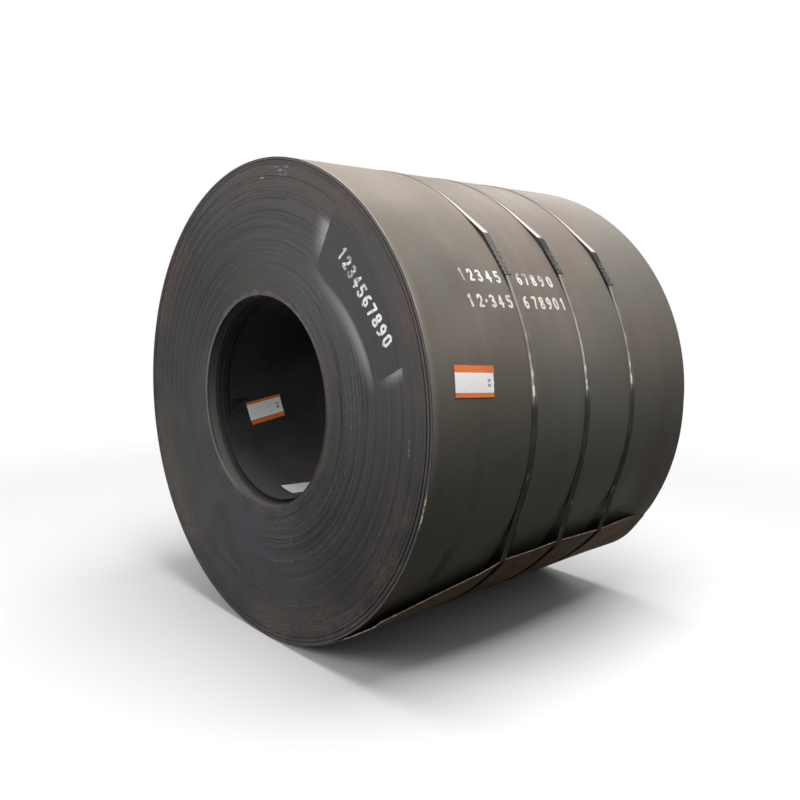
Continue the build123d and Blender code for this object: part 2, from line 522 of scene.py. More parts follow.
def seal(number, y, bend_angle, leg_span, material):
    """Crimped sleeve that holds the two ends of a strap."""
    foot, along, out = leg_frame(bend_angle, leg_span)
    stations = np.linspace(0, seal_length, 90)
    loops, uv = [], []
    for place in stations:
        phase = (place / seal_length * crimp_count) % 1.0
        squeeze = float(np.exp(-(((phase - 0.5) / 0.13) ** 2)))
        section = sleeve_section(strap_width / 2 + seal_gap, strap_thickness * 2 + seal_gap, squeeze)
        reach = seal_foot_gap + place
        level = strap_clearance + section[:, 1]
        x = foot[0] + along[0] * reach + out[0] * level
        z = axis_height + foot[1] + along[1] * reach + out[1] * level
        loops.append(np.stack([x, y + section[:, 0], z], axis=1))
        uv.extend((place / seal_length, 0.5 + across / strap_width * 0.9) for across in section[:, 0])
    points = np.stack(loops)
    size = points.shape[1]
    faces = []
    for r in range(len(loops) - 1):
        for c in range(size):
            d = (c + 1) % size
            faces.append((r * size + c, r * size + d, (r + 1) * size + d, (r + 1) * size + c))
    faces.append(tuple(range(size)))
    faces.append(tuple(range((len(loops) - 1) * size, len(loops) * size))[::-1])
    piece = new_mesh(f"crimped_seal_{number}", points.reshape(-1, 3), faces)
    give_uv(piece, "sleeve", uv)
    weld(piece, 1e-7)
    return finish_piece(piece, material, "seal_steel", f"seal_{number}")


# ---------------------------------------------------------------- labels
def label(name, from_end, angle, tilt, radius, facing, node, material, curl, ragged_edge=0.0):
    """Paper sheet that follows a round skin. facing is 1 outside the coil and -1 in the bore. Its
    far edge may be ragged, and one corner curls off the steel."""
    columns, rows = 37, 21
    u, v = np.meshgrid(np.linspace(0, 1, columns), np.linspace(0, 1, rows))
    ragged = ragged_edge * (0.5 + 0.5 * wave_noise(v, 61, 5, 1.5, 3))
    across = (u - 0.5) * label_length - ragged * smooth_step(u, 0.9, 1.0)
    up = (v - 0.5) * label_height
    turned = radians(tilt)
    along = across * cos(turned) - up * sin(turned)
    round_way = across * sin(turned) + up * cos(turned)
    lifted = curl * smooth_step(u + v, 1.55, 2.0)
    y = from_end - half_width + along
    theta = angle + np.degrees(round_way / radius)
    top = around(radius + facing * (paper_thickness + lifted), theta, y).reshape(-1, 3)
    bottom = around(radius + facing * lifted, theta, y).reshape(-1, 3)
    count = columns * rows
    faces = grid_faces(rows, columns) + grid_faces(rows, columns, first=count, flip=True)
    rim = [c for c in range(columns)]
    rim += [r * columns + columns - 1 for r in range(1, rows)]
    rim += [(rows - 1) * columns + c for c in range(columns - 2, -1, -1)]
    rim += [r * columns for r in range(rows - 2, 0, -1)]
    for a, b in zip(rim, rim[1:] + rim[:1]):
        faces.append((b, a, a + count, b + count))
    piece = new_mesh(name, np.concatenate([top, bottom]), faces)
    give_uv(piece, "sheet", np.concatenate([np.stack([u.ravel(), v.ravel()], 1)] * 2))
    weld(piece, 1e-8)
    return finish_piece(piece, material, "label_paper", node)


# ---------------------------------------------------------------- stencilled digits
digit_strokes = {
    "0": [[(0.5, 1), (0.15, 0.85), (0.1, 0.5), (0.15, 0.15), (0.5, 0)],
          [(0.62, 0.02), (0.88, 0.15), (0.9, 0.5), (0.88, 0.85), (0.62, 0.98)]],
    "1": [[(0.3, 0.82), (0.55, 1), (0.55, 0)]],
    "2": [[(0.1, 0.78), (0.25, 0.97), (0.6, 1), (0.88, 0.82), (0.82, 0.58), (0.12, 0.03)],
          [(0.12, 0.02), (0.9, 0.02)]],
    "3": [[(0.12, 0.9), (0.5, 1), (0.85, 0.85), (0.8, 0.6), (0.45, 0.53)],
          [(0.45, 0.5), (0.88, 0.38), (0.88, 0.12), (0.5, 0), (0.1, 0.1)]],
    "4": [[(0.68, 0), (0.68, 1), (0.1, 0.34), (0.55, 0.3)], [(0.8, 0.3), (0.95, 0.3)]],
    "5": [[(0.88, 1), (0.2, 1), (0.15, 0.6)],
          [(0.18, 0.56), (0.6, 0.62), (0.9, 0.42), (0.85, 0.12), (0.5, 0), (0.1, 0.1)]],
    "6": [[(0.8, 0.98), (0.4, 0.9), (0.15, 0.6), (0.12, 0.25), (0.4, 0.0)],
          [(0.5, 0), (0.85, 0.12), (0.88, 0.4), (0.6, 0.55), (0.25, 0.5)]],
    "7": [[(0.1, 1), (0.9, 1), (0.4, 0)]],
    "8": [[(0.45, 0.53), (0.14, 0.68), (0.2, 0.94), (0.5, 1), (0.82, 0.94), (0.86, 0.68),
           (0.55, 0.53)],
          [(0.45, 0.48), (0.12, 0.32), (0.15, 0.07), (0.5, 0), (0.85, 0.07), (0.9, 0.32),
           (0.55, 0.48)]],
    "9": [[(0.2, 0.02), (0.6, 0.1), (0.85, 0.4), (0.88, 0.75), (0.6, 1)],
          [(0.5, 1), (0.15, 0.88), (0.12, 0.6), (0.4, 0.45), (0.75, 0.5)]],
    ".": [[(0.45, 0.45), (0.55, 0.55)]],
}


def stroke_distance(u, v, strokes):
    """Distance from points to the nearest of some strokes."""
    best = np.full(u.shape, 9.0)
    for stroke in strokes:
        for (ax, ay), (bx, by) in zip(stroke, stroke[1:]):
            dx, dy = bx - ax, by - ay
            share = np.clip(((u - ax) * dx + (v - ay) * dy) / (dx * dx + dy * dy + 1e-12), 0, 1)
            best = np.minimum(best, np.hypot(u - ax - share * dx, v - ay - share * dy))
    return best


def cut_cell(corners, values):
    """Part of a square cell where the values are below zero, as a list of corners."""
    kept = []
    for k in range(4):
        p, q = corners[k], corners[(k + 1) % 4]
        a, b = values[k], values[(k + 1) % 4]
        if a < 0:
            kept.append(p)
        if (a < 0) != (b < 0):
            share = a / (a - b)
            kept.append((p[0] + (q[0] - p[0]) * share, p[1] + (q[1] - p[1]) * share))
    return kept


def digit_cells(character, width, height, stroke, seed):
    """Flat faces of one painted digit, in metres from its middle, with an uneven edge."""
    step = 0.0014
    margin = stroke
    us = np.arange(-width / 2 - margin, width / 2 + margin + step, step)
    vs = np.arange(-height / 2 - margin, height / 2 + margin + step, step)
    u, v = np.meshgrid(us, vs)
    strokes = [
        [((x - 0.5) * (width - stroke), (y - 0.5) * (height - stroke)) for x, y in line]
        for line in digit_strokes[character]
    ]
    uneven = 0.0003 * (
        wave_noise(u / 0.02 + v / 0.011, seed) + wave_noise(v / 0.017 - u / 0.009, seed + 1)
    )
    value = stroke_distance(u, v, strokes) - stroke / 2 + uneven
    cells = []
    for r in range(len(vs) - 1):
        for c in range(len(us) - 1):
            four = [value[r, c], value[r, c + 1], value[r + 1, c + 1], value[r + 1, c]]
            if min(four) < 0:
                corners = [(us[c], vs[r]), (us[c + 1], vs[r]), (us[c + 1], vs[r + 1]), (us[c], vs[r + 1])]
                kept = cut_cell(corners, four)
                if len(kept) > 2:
                    cells.append(kept)
    return cells


def painted_layer(name, cells, place, material):
    """Thin closed layer of paint from flat faces. place(u, v, height) puts it on its surface."""
    index, flat_points, faces = {}, [], []
    for cell in cells:
        face = []
        for p in cell:
            key = (round(p[0] * 1e6), round(p[1] * 1e6))
            if key not in index:
                index[key] = len(flat_points)
                flat_points.append(p)
            if not face or face[-1] != index[key]:
                face.append(index[key])
        if len(set(face)) > 2:
            faces.append(tuple(dict.fromkeys(face)))
    flat_points = np.array(flat_points)
    count = len(flat_points)
    top = place(flat_points[:, 0], flat_points[:, 1], 0.00025)
    bottom = place(flat_points[:, 0], flat_points[:, 1], 0.00002)
    edges = {}
    for face in faces:
        for a, b in zip(face, face[1:] + face[:1]):
            edges[(a, b)] = edges.get((a, b), 0) + 1
    sides = [(b, a, a + count, b + count) for a, b in edges if (b, a) not in edges]
    under = [tuple(i + count for i in face[::-1]) for face in faces]
    piece = new_mesh(name, np.concatenate([top, bottom]), faces + under + sides, smooth=False)
    weld(piece, 1e-8)
    return finish_piece(piece, material, "hot_rolled_steel")


def belly_digits(material):
    """Two rows of plain counting digits on the skin of the coil."""
    rows = (
        ("12345 67890", 31.0, 29.6, (0.262, 0.304, 0.345, 0.390, 0.435, 0, 0.548, 0.586, 0.626,
                                     0.671, 0.717)),
        ("12.345 678901", 25.0, 24.0, (0.258, 0.304, 0.333, 0.365, 0.405, 0.449, 0, 0.537, 0.585,
                                       0.624, 0.665, 0.703, 0.744)),
    )
    for number, (text, first_angle, last_angle, places) in enumerate(rows, start=1):
        cells = []
        for k, (character, from_end) in enumerate(zip(text, places)):
            if character == " ":
                continue
            share = (from_end - places[0]) / (places[-1] - places[0])
            angle = first_angle + (last_angle - first_angle) * share
            middle = (from_end - half_width, radians(angle) * coil_radius)
            for cell in digit_cells(character, 0.030, 0.048, 0.0086, 40 * number + k):
                slant = 0.06
                cells.append([(middle[0] + u - slant * v, middle[1] + v) for u, v in cell])

        def place(u, v, height):
            angle = np.degrees(v / coil_radius)
            return around(outer_skin(angle) + height, angle, u)

        painted_layer(f"belly_digits_{number}", cells, place, material)


def end_digits(material):
    """One straight row of plain counting digits on the marked end, their tops outward."""
    cells = []
    for k, character in enumerate("1234567890"):
        along = end_row_start + end_row_pitch * k
        for cell in digit_cells(character, 0.034, 0.052, 0.0098, 300 + k):
            cells.append([(along + u, end_row_height + v) for u, v in cell])

    def place(u, v, height):
        radius = np.hypot(u, v)
        angle = end_row_angle - np.degrees(np.arctan2(u, v))
        winding = (radius - bore_radius) / turn_pitch
        level = np.minimum(near_edge(winding), near_edge(winding + 0.3))
        return around(radius, angle, np.maximum(level - height, -half_width - 0.0024))

    painted_layer("end_digits", cells, place, material)


# ---------------------------------------------------------------- materials
class Shade:
    """Builds one node material. Values are numbers or sockets."""

    def __init__(self, name):
        self.material = bpy.data.materials.new(name)
        self.material.use_nodes = True
        self.tree = self.material.node_tree
        self.surface = self.tree.nodes["Principled BSDF"]

    def node(self, kind, **settings):
        made = self.tree.nodes.new(kind)
        for key, value in settings.items():
            setattr(made, key, value)
        return made

    def put(self, value, socket):
        if isinstance(value, bpy.types.NodeSocket):
            self.tree.links.new(value, socket)
        else:
            socket.default_value = value

    def math(self, operation, *values):
        made = self.node("ShaderNodeMath", operation=operation)
        for value, socket in zip(values, made.inputs):
            self.put(value, socket)
        return made.outputs[0]

    def plus(self, a, b):
        return self.math("ADD", a, b)

    def times(self, a, b):
        return self.math("MULTIPLY", a, b)

    def vector(self, x, y, z):
        made = self.node("ShaderNodeCombineXYZ")
        for value, socket in zip((x, y, z), made.inputs):
            self.put(value, socket)
        return made.outputs[0]

    def noise(self, vector, scale, detail=3.0, rough=0.5):
        made = self.node("ShaderNodeTexNoise")
        self.put(vector, made.inputs["Vector"])
        self.put(scale, made.inputs["Scale"])
        self.put(detail, made.inputs["Detail"])
        self.put(rough, made.inputs["Roughness"])
        return made.outputs["Fac"]

    def line_noise(self, value, scale, detail=2.0):
        made = self.node("ShaderNodeTexNoise", noise_dimensions="1D")
        self.put(value, made.inputs["W"])
        self.put(scale, made.inputs["Scale"])
        self.put(detail, made.inputs["Detail"])
        return made.outputs["Fac"]

    def band(self, value, low, high):
        """0 at low, 1 at high, smooth between, with low above high for the other way."""
        made = self.node("ShaderNodeMapRange", interpolation_type="SMOOTHSTEP")
        self.put(value, made.inputs["Value"])
        self.put(low, made.inputs["From Min"])
        self.put(high, made.inputs["From Max"])
        return made.outputs["Result"]

    def within(self, value, low, high, soft):
        """1 between low and high, with soft edges."""
        up = self.band(value, low - soft, low + soft)
        down = self.band(value, high + soft, high - soft)
        return self.times(up, down)

    def mix(self, share, first, second):
        made = self.node("ShaderNodeMix", data_type="RGBA")
        self.put(share, made.inputs[0])
        self.put(colour(first), made.inputs[6])
        self.put(colour(second), made.inputs[7])
        return made.outputs[2]

    def bump(self, height, strength, distance):
        made = self.node("ShaderNodeBump")
        made.inputs["Strength"].default_value = strength
        made.inputs["Distance"].default_value = distance
        self.put(height, made.inputs["Height"])
        self.put(made.outputs["Normal"], self.surface.inputs["Normal"])

    def set(self, **values):
        for key, value in values.items():
            self.put(value, self.surface.inputs[key.replace("_", " ")])

    def place(self):
        """x, y and z of the shaded point in the object's own frame."""
        split = self.node("ShaderNodeSeparateXYZ")
        self.put(self.node("ShaderNodeTexCoord").outputs["Object"], split.inputs[0])
        return split.outputs[0], split.outputs[1], split.outputs[2]

    def polar(self):
        """Radius from the coil's axis, angle in turns and place along the coil."""
        x, y, z = self.place()
        up = self.math("SUBTRACT", z, axis_height)
        radius = self.math("SQRT", self.plus(self.times(x, x), self.times(up, up)))
        turn = self.times(self.math("ARCTAN2", up, x), 1 / (2 * pi))
        return radius, turn, y


def colour(value):
    """A colour as four numbers, and a socket as it is."""
    return value if isinstance(value, bpy.types.NodeSocket) else (*value, 1.0)


def end_material(name, marked):
    """Sheared edges of the turns: smooth charcoal with fine rings, painted light that makes them paler
    towards the top, painted shade at the lower right, and rust tints near the rim and the eye. The
    marked end also has a smooth bluish patch with a painted sheen, chips, and painted shade in its eye."""
    s = Shade(name)
    radius, turn, y = s.polar()
    x, _, z = s.place()
    degrees_round = s.times(turn, 360.0)
    into_turn = s.math("FRACT", s.math("SUBTRACT", turn, inner_end_angle / 360))
    winding = s.math(
        "SUBTRACT", s.times(s.math("SUBTRACT", radius, bore_radius), 1 / turn_pitch), into_turn
    )
    strip_place = s.plus(s.math("FLOOR", winding), into_turn)
    arcs = s.line_noise(strip_place, 4.5, 2.0)
    rings = s.line_noise(radius, 150.0, 2.0)
    grain = s.noise(s.vector(s.times(turn, 150.0), s.times(radius, 260.0), 0.0), 1.0, 3.0)
    blotch = s.noise(s.vector(x, y, z), 2.6, 4.0)
    tone = s.plus(s.times(arcs, 0.40), s.plus(s.times(rings, 0.25), s.times(grain, 0.35)))
    base = s.mix(s.band(tone, 0.32, 0.72), end_dark, end_light)
    base = s.mix(s.times(s.band(blotch, 0.40, 0.66), 0.45), base, (0.062, 0.065, 0.060))
    tint = s.noise(s.vector(s.plus(x, 3.0), y, z), 3.4, 4.0)
    base = s.mix(s.times(s.band(tint, 0.52, 0.64), 0.40), base, (0.068, 0.078, 0.062))
    base = s.mix(s.times(s.band(tint, 0.46, 0.36), 0.40), base, (0.072, 0.070, 0.088))
    # Painted light: the end gets paler towards its top, where the light falls.
    painted_top_light = s.band(s.plus(z, s.times(x, 0.55)), 0.80, 1.80)
    base = s.mix(s.times(painted_top_light, 0.50), base, (0.148, 0.136, 0.134))
    # Painted shade: the lower right of the end is darkened.
    corner = s.times(s.band(x, 0.10, 0.60), s.band(z, 1.15, 0.35))
    base = s.mix(s.times(corner, 0.50), base, (0.022, 0.022, 0.022))
    left_top = s.times(s.band(x, -0.22, -0.55), s.within(z, 1.25, 1.65, 0.15))
    base = s.mix(s.times(left_top, 0.28), base, (0.030, 0.028, 0.029))
    lined = s.math("MAXIMUM", s.times(s.band(radius, 0.66, 0.60), s.band(x, -0.10, 0.20)),
                   s.times(s.band(z, 1.30, 1.65), 0.8))
    bright = s.times(s.times(s.band(arcs, 0.54, 0.68), s.band(grain, 0.46, 0.60)), lined)
    base = s.mix(s.times(bright, 0.36), base, (0.24, 0.23, 0.22))
    crust = s.times(s.within(radius, 0.404, 0.426, 0.006), s.band(z, 1.13, 1.24))
    crust = s.times(crust, s.band(s.noise(s.vector(x, y, z), 45.0, 4.0, 0.7), 0.42, 0.62))
    base = s.mix(s.times(crust, 0.45), base, (0.230, 0.205, 0.200))
    base = s.mix(s.times(s.times(s.band(arcs, 0.42, 0.32), lined), 0.55), base, (0.016, 0.016, 0.016))
    rusty = s.math("MAXIMUM", s.band(radius, 0.70, 0.88), s.band(radius, 0.47, 0.40))
    rust = s.times(s.times(s.band(blotch, 0.44, 0.58), s.band(grain, 0.36, 0.62)), rusty)
    base = s.mix(s.times(rust, 0.60), base, (0.152, 0.100, 0.092))
    lip = s.times(s.within(strip_place, 5.75, 8.60, 0.02), s.band(x, -0.05, -0.25))
    base = s.mix(s.times(lip, 0.55), base, (0.190, 0.188, 0.172))
    base = s.mix(s.times(s.within(radius, 0.8985, 0.9020, 0.0008), 0.70), base, (0.017, 0.017, 0.017))
    base = s.mix(s.times(s.within(radius, 0.9036, 0.9076, 0.0010), 0.55), base, (0.190, 0.182, 0.168))
    base = s.mix(s.times(s.band(radius, 0.9088, 0.9100), 0.6), base, (0.022, 0.021, 0.021))
    if marked:
        base = patch_with_painted_sheen(s, radius, degrees_round, base)
        base = s.mix(chips(s, radius, degrees_round, grain, blotch), base, (0.60, 0.58, 0.55))
        base = eye_painted_shade(s, y, base)
    s.set(Base_Color=base, Metallic=0.0, Specular_IOR_Level=0.12)
    s.put(s.plus(0.45, s.times(rings, 0.25)), s.surface.inputs["Roughness"])
    s.bump(s.plus(grain, s.times(arcs, 0.6)), 0.15, 0.0008)
    return s.material


def eye_painted_shade(s, y, base):
    """Painted shade in the eye: the turns that have slipped back get a grey that darkens with their depth."""
    depth = s.plus(y, half_width)
    eye = s.mix(s.band(depth, 0.026, 0.050), (0.095, 0.095, 0.088), (0.026, 0.027, 0.026))
    eye = s.mix(s.band(depth, 0.060, 0.090), eye, (0.012, 0.013, 0.014))
    return s.mix(s.band(depth, 0.007, 0.014), base, eye)


def chips(s, radius, degrees_round, grain, blotch):
    """Small bright chips: a few at the top of the end and two beside the rim."""
    def spot(inner, outer, low, high):
        there = s.within(radius, inner, outer, 0.0015)
        return s.times(there, s.within(degrees_round, low, high, 0.25))

    nicks = s.noise(s.vector(s.times(degrees_round, 2.2), s.times(radius, 320.0), 5.0), 1.0, 2.0)
    found = s.times(spot(0.813, 0.817, -6.4, -2.8), s.band(nicks, 0.50, 0.58))
    found = s.math("MAXIMUM", found, spot(0.837, 0.840, 87.6, 89.2))
    sparse = s.times(spot(0.846, 0.883, 77.5, 83.0), s.band(grain, 0.58, 0.66))
    found = s.math("MAXIMUM", found, sparse)
    strewn = s.times(s.band(grain, 0.73, 0.78), s.band(blotch, 0.45, 0.60))
    return s.times(s.math("MAXIMUM", found, s.times(strewn, 0.5)), 0.8)


def patch_with_painted_sheen(s, radius, degrees_round, base):
    """The smooth bluish patch that carries the digits, with a painted sheen along three of its sides."""
    bend = s.math("ABSOLUTE", s.math("SUBTRACT", degrees_round, 48.0))
    past_inner = s.math("SUBTRACT", s.math("SUBTRACT", radius, 0.592), s.times(bend, 0.0017))
    past_upper = s.math("SUBTRACT", degrees_round, s.plus(49.6, s.times(radius, 8.6)))
    past_lower = s.math("SUBTRACT", degrees_round, s.plus(-3.0, s.times(radius, 20.0)))
    patch = s.times(s.band(past_upper, 0.3, -0.3), s.band(past_lower, -0.2, 0.2))
    patch = s.times(s.times(patch, s.band(past_inner, -0.004, 0.014)), s.band(radius, 0.84, 0.79))
    base = s.mix(s.times(patch, 0.7), base, (0.074, 0.072, 0.079))
    upper = s.math("POWER", s.band(past_upper, 8.0, 0.0), 2.0)
    upper = s.times(upper, s.band(past_upper, -0.15, 0.15))
    upper = s.times(upper, s.times(s.band(radius, 0.61, 0.74), s.band(radius, 0.79, 0.755)))
    lower = s.math("POWER", s.band(past_lower, -4.6, 0.2), 2.0)
    lower = s.times(lower, s.band(past_lower, 0.15, -0.15))
    lower = s.times(lower, s.times(s.band(radius, 0.68, 0.79), s.band(radius, 0.803, 0.795)))
    glow = s.math("POWER", s.band(past_inner, -0.075, 0.0), 2.0)
    glow = s.times(glow, s.band(past_inner, 0.016, -0.002))
    along = s.times(s.band(degrees_round, 6.0, 20.0), s.band(degrees_round, 64.0, 22.0))
    glow = s.times(s.times(glow, along), 0.75)
    # Painted highlights: the bright sheen along the patch's upper, lower and inner sides.
    sheen = s.math("MAXIMUM", s.math("MAXIMUM", upper, lower), glow)
    return s.mix(s.times(sheen, 0.85), base, (0.40, 0.40, 0.41))


def wall_material_of_bore():
    """Wall of the bore: dark scale, a little greener on the left and browner at the bottom."""
    s = Shade("bore_wall")
    x, y, z = s.place()
    radius, turn, _ = s.polar()
    cloud = s.noise(s.vector(x, y, z), 4.0, 4.0)
    fine = s.noise(s.vector(s.times(turn, 8.0), s.times(y, 50.0), 0.0), 1.0, 3.0)
    base = s.mix(s.band(cloud, 0.35, 0.7), (0.016, 0.018, 0.022), (0.034, 0.037, 0.037))
    low = s.band(z, axis_height - 0.20, axis_height - 0.37)
    base = s.mix(s.times(low, 0.55), base, (0.090, 0.080, 0.074))
    high = s.band(z, axis_height + 0.12, axis_height + 0.34)
    base = s.mix(s.times(high, 0.5), base, (0.062, 0.065, 0.072))
    # Painted light: the step at the strip's inner end is lightened to offset the shadow it casts.
    seam = s.within(s.times(turn, 360.0), inner_end_angle - 0.3, inner_end_angle + 0.3, 0.15)
    base = s.mix(seam, base, (0.030, 0.033, 0.034))
    s.set(Base_Color=base, Specular_IOR_Level=0.15)
    s.put(s.plus(0.45, s.times(fine, 0.25)), s.surface.inputs["Roughness"])
    s.bump(s.plus(fine, cloud), 0.15, 0.0008)
    return s.material


def cut_edge_material():
    """Bare sheared edge of the outer turn and its tail; the tail's edge is made brighter than the scale beside it as
    a painted highlight.
    """
    s = Shade("cut_edge")
    x, y, z = s.place()
    nicks = s.noise(s.vector(x, y, z), 70.0, 4.0)
    radius, turn, _ = s.polar()
    degrees_round = s.times(turn, 360.0)
    base = s.mix(s.band(nicks, 0.40, 0.66), (0.026, 0.025, 0.024), (0.070, 0.065, 0.060))
    # Painted highlight: the tail's sheared edge is made bright where light falls on it; it is bare steel too.
    tail = s.band(radius, coil_radius + 0.001, coil_radius + 0.004)
    base = s.mix(tail, base, s.mix(s.band(nicks, 0.40, 0.62), (0.12, 0.10, 0.085), (0.33, 0.29, 0.25)))
    chipped = s.times(s.within(degrees_round, -19.0, -12.2, 1.6), s.band(nicks, 0.44, 0.54))
    chipped = s.times(chipped, s.band(y, -0.70, -0.74))
    base = s.mix(s.times(chipped, 0.9), base, s.mix(s.band(nicks, 0.5, 0.62), (0.60, 0.30, 0.16), (0.80, 0.76, 0.70)))
    s.set(Base_Color=base, Specular_IOR_Level=0.3)
    s.put(s.plus(0.40, s.times(nicks, 0.2)), s.surface.inputs["Roughness"])
    s.bump(nicks, 0.2, 0.0005)
    return s.material


def skin_material():
    """Rolled surface with mill scale: dull warm grey with faint tints, greener low down where painted
    shade also darkens it, with a painted sheen near the top of the marked end and painted shadow
    beside the straps.
    """
    s = Shade("mill_scale")
    radius, turn, y = s.polar()
    x, _, z = s.place()
    point = s.vector(x, y, z)
    cloud = s.noise(point, 2.4, 5.0)
    tint = s.noise(point, 1.7, 2.0)
    fine = s.noise(point, 160.0, 4.0, 0.6)
    streak = s.noise(s.vector(s.times(turn, 2.0), s.times(y, 14.0), 0.0), 1.0, 3.0)
    degrees_round = s.times(turn, 360.0)
    tone = s.plus(s.times(cloud, 0.5), s.plus(s.times(streak, 0.25), s.times(fine, 0.28)))
    tone = s.band(tone, 0.34, 0.70)
    low = s.mix(tone, skin_low_shaded_dark, skin_low_shaded_light)
    base = s.mix(tone, skin_dark, skin_light)
    base = s.mix(s.times(s.band(tint, 0.5, 0.66), 0.42), base, (0.130, 0.098, 0.086))
    base = s.mix(s.times(s.band(tint, 0.5, 0.34), 0.5), base, (0.130, 0.135, 0.118))
    base = s.mix(s.times(s.within(degrees_round, 2.0, 14.0, 8.0), 0.30), base, (0.128, 0.122, 0.116))
    # Painted shade: lower down the skin takes the darker, greener lower colours.
    base = s.mix(s.band(degrees_round, 16.0, -14.0), base, low)
    paler = s.times(s.within(y, -0.02, 0.52, 0.10), s.within(degrees_round, -14.0, 3.0, 5.0))
    base = s.mix(s.times(paler, 0.25), base, (0.150, 0.148, 0.132))
    base = s.mix(s.times(s.band(y, 0.05, 0.72), 0.35), base, (0.085, 0.070, 0.058))
    near = s.times(s.band(y, -0.42, -0.72), s.band(degrees_round, 14.0, 28.0))
    near = s.times(near, s.band(degrees_round, 54.0, 40.0))
    base = s.mix(s.times(near, 0.26), base, (0.060, 0.054, 0.048))
    # Painted highlight: a pale sheen on the skin near the top of the marked end.
    top_near_painted_sheen = s.times(s.band(y, -0.30, -0.62), s.band(degrees_round, 44.0, 56.0))
    base = s.mix(s.times(top_near_painted_sheen, 0.18), base, (0.270, 0.240, 0.205))
    base = skin_stains(s, degrees_round, y, tint, fine, base)
    base = smudge(s, turn, y, base)
    # Painted shadow beside the straps.
    base = strap_painted_shadow(s, degrees_round, y, base)
    s.set(Base_Color=base, Metallic=0.0, Specular_IOR_Level=0.02)
    s.put(s.plus(0.34, s.times(cloud, 0.16)), s.surface.inputs["Roughness"])
    s.bump(s.plus(fine, s.times(streak, 0.3)), 0.12, 0.0006)
    return s.material


def skin_stains(s, degrees_round, y, tint, fine, base):
    """A pale rim beside the marked end, and brown and black stains of the skin."""
    rim = s.times(s.band(y, -0.715, -0.742), s.within(degrees_round, -10.0, 34.0, 10.0))
    base = s.mix(s.times(rim, 0.30), base, (0.26, 0.24, 0.21))
    line = s.times(s.band(y, -0.7415, -0.7455), s.band(degrees_round, 2.0, 24.0))
    base = s.mix(s.times(s.times(line, s.band(tint, 0.38, 0.56)), 0.50), base, (0.48, 0.45, 0.41))
    rusty_corner = s.times(s.band(y, -0.64, -0.72), s.band(degrees_round, -27.0, -36.0))
    base = s.mix(s.times(rusty_corner, s.band(fine, 0.30, 0.62)), base, (0.150, 0.112, 0.085))
    stain = s.times(s.within(y, -0.60, -0.42, 0.06), s.within(degrees_round, 25.0, 36.0, 5.0))
    base = s.mix(s.times(stain, s.band(fine, 0.30, 0.70)), base, (0.098, 0.084, 0.072))
    brown = s.times(s.band(y, 0.44, 0.60), s.within(degrees_round, -31.0, -13.0, 5.0))
    base = s.mix(s.times(brown, 0.50), base, (0.104, 0.074, 0.058))
    black = s.times(s.within(y, 0.40, 0.54, 0.05), s.within(degrees_round, -33.0, -30.5, 1.6))
    return s.mix(s.times(black, s.band(fine, 0.30, 0.60)), base, (0.016, 0.015, 0.014))


def tail_plate_material():
    """The sprung tail: brown, painted as the reflection of a brownish ground, more orange towards the far end."""
    s = Shade("tail_scale_and_painted_reflection")
    x, y, z = s.place()
    point = s.vector(x, y, z)
    tone = s.noise(point, 9.0, 4.0)
    # Painted reflection: the brown of the tail stands for a brownish ground seen in it.
    base = s.mix(s.band(tone, 0.35, 0.65), (0.062, 0.038, 0.024), (0.108, 0.070, 0.044))
    orange = s.times(s.band(y, 0.15, 0.55), s.band(tone, 0.40, 0.60))
    base = s.mix(s.times(orange, 0.55), base, (0.200, 0.108, 0.044))
    base = s.mix(s.times(s.band(y, 0.60, 0.70), 0.5), base, (0.085, 0.072, 0.050))
    s.set(Base_Color=base, Specular_IOR_Level=0.02)
    s.put(s.plus(0.5, s.times(tone, 0.2)), s.surface.inputs["Roughness"])
    s.bump(tone, 0.2, 0.0008)
    return s.material


def smudge(s, turn, y, base):
    """Dark streak with a reddish head near the bottom of the skin."""
    degrees_round = s.times(turn, 360.0)
    run = s.within(degrees_round, -36.5, -26.5, 1.2)
    across = s.within(s.math("SUBTRACT", y, s.times(degrees_round, 0.0012)), -0.548, -0.500, 0.012)
    base = s.mix(s.times(s.times(run, across), 0.8), base, (0.026, 0.024, 0.021))
    head = s.within(degrees_round, -27.6, -25.6, 1.0)
    wide = s.within(y, -0.585, -0.535, 0.02)
    return s.mix(s.times(s.times(head, wide), 0.45), base, (0.150, 0.070, 0.050))


def strap_painted_shadow(s, degrees_round, y, base):
    """Painted shadow: near black in and beside the gap at the near side of each strap, where it stands off the skin.
    """
    upper = s.within(degrees_round, 29.0, 60.0, 6.0)
    lower = s.band(degrees_round, -11.0, -16.0)
    spread = s.times(s.band(degrees_round, -23.0, -31.0), 0.050)
    from_edge = s.plus(-0.009, s.times(upper, 0.012))
    for from_end in strap_from_end:
        beside = s.math("SUBTRACT", y, from_end - half_width - strap_width / 2)
        begins = s.band(s.math("SUBTRACT", beside, from_edge), 0.0, 0.006)
        line = s.times(begins, s.band(s.math("SUBTRACT", beside, spread), 0.042, 0.026))
        there = s.math("MAXIMUM", upper, s.times(lower, 0.9))
        base = s.mix(s.times(s.times(there, line), 0.85), base, (0.012, 0.011, 0.010))
    return base


